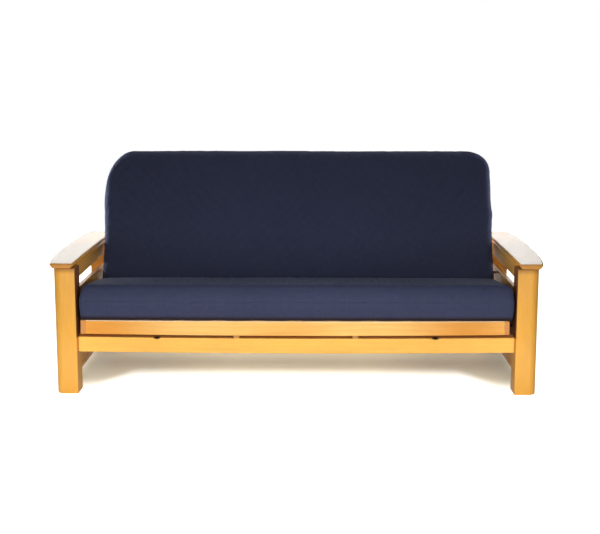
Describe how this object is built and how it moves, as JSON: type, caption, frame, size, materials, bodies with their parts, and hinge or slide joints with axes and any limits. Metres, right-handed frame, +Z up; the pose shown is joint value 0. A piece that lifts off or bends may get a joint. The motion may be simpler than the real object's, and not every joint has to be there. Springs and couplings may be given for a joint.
{
  "type": "futon cover on a mattress and wooden sofa frame",
  "caption": "Fitted dark blue futon cover on its mattress, folded into a seat and a leaning back, on a wooden sofa frame with ladder arms and slatted decks.",
  "frame": {"origin": "on the floor, in the middle of the sofa's length and depth", "axes": "+X along the length, to the right of someone who faces the sofa; +Y to the back; +Z up"},
  "size_m": [2.202, 0.98, 1.0145],
  "materials": {
    "cover_twill": "dark blue cotton twill, matt with a faint sheen",
    "honey_wood": "honey lacquered hardwood, satin gloss",
    "pale_wood": "pale honey lacquered hardwood, gloss",
    "steel": "zinc-plated steel"
  },
  "bodies": {
    "root": {"futon_cover": "cover_twill", "arm_top_left": "pale_wood", "post_front_left": "honey_wood", "post_rear_left": "honey_wood", "apron_left": "honey_wood", "upper_slat_left": "honey_wood", "lower_slat_left": "honey_wood", "stretcher_left": "honey_wood", "arm_top_right": "pale_wood", "post_front_right": "honey_wood", "post_rear_right": "honey_wood", "apron_right": "honey_wood", "upper_slat_right": "honey_wood", "lower_slat_right": "honey_wood", "stretcher_right": "honey_wood", "front_rail": "pale_wood", "rear_rail": "pale_wood", "rest_block_left": "pale_wood", "rest_block_right": "pale_wood", "rest_batten": "honey_wood", "seat_front_rail": "pale_wood", "back_bottom_rail": "pale_wood", "seat_rear_rail": "honey_wood", "back_top_rail": "honey_wood", "seat_side_rail_left": "honey_wood", "seat_side_rail_right": "honey_wood", "back_side_rail_left": "honey_wood", "back_side_rail_right": "honey_wood", "seat_slat_1": "honey_wood", "seat_slat_2": "honey_wood", "seat_slat_3": "honey_wood", "seat_slat_4": "honey_wood", "seat_slat_5": "honey_wood", "seat_slat_6": "honey_wood", "seat_slat_7": "honey_wood", "seat_slat_8": "honey_wood", "seat_slat_9": "honey_wood", "seat_slat_10": "honey_wood", "seat_slat_11": "honey_wood", "back_slat_1": "honey_wood", "back_slat_2": "honey_wood", "back_slat_3": "honey_wood", "back_slat_4": "honey_wood", "back_slat_5": "honey_wood", "back_slat_6": "honey_wood", "back_slat_7": "honey_wood", "back_slat_8": "honey_wood", "back_slat_9": "honey_wood", "back_slat_10": "honey_wood", "back_slat_11": "honey_wood", "seat_pin_left": "steel", "seat_pin_right": "steel", "back_pin_left": "steel", "back_pin_right": "steel", "deck_hinge_left": "steel", "deck_hinge_right": "steel"}
  },
  "joints": []
}
